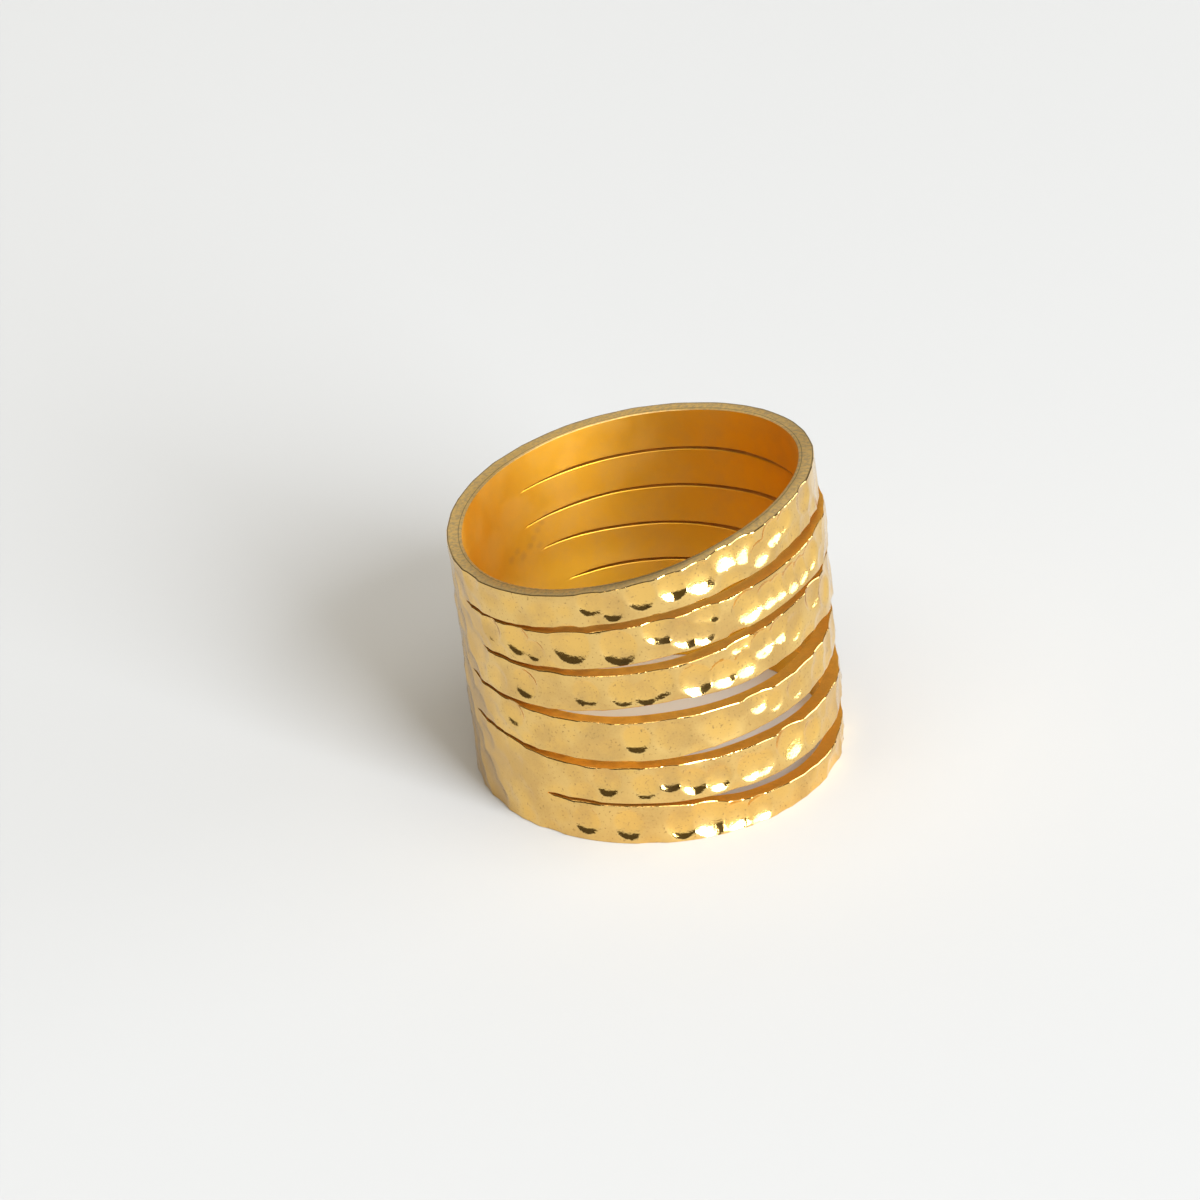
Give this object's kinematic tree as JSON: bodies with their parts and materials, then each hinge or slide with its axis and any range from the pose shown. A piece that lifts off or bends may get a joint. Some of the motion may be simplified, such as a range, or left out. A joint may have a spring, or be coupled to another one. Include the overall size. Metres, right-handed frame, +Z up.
{
  "type": "ring",
  "caption": "Wide hammered finger ring of gold-coloured metal, its wall slit into stacked bands that fan apart on one side and stay joined on the other.",
  "frame": {"origin": "centre of the bounding box's base, on the surface that the ring's lower rim rests on", "axes": "+Z up through the finger hole, +X towards the side where the bands fan apart and the rim is highest, -Y towards the front"},
  "size_m": [0.0194, 0.0198, 0.0165],
  "materials": {
    "hammered_gold": "hammered and polished outside, satin inside the finger hole"
  },
  "bodies": {
    "root": {"hammered_ring": "hammered_gold"}
  },
  "joints": []
}
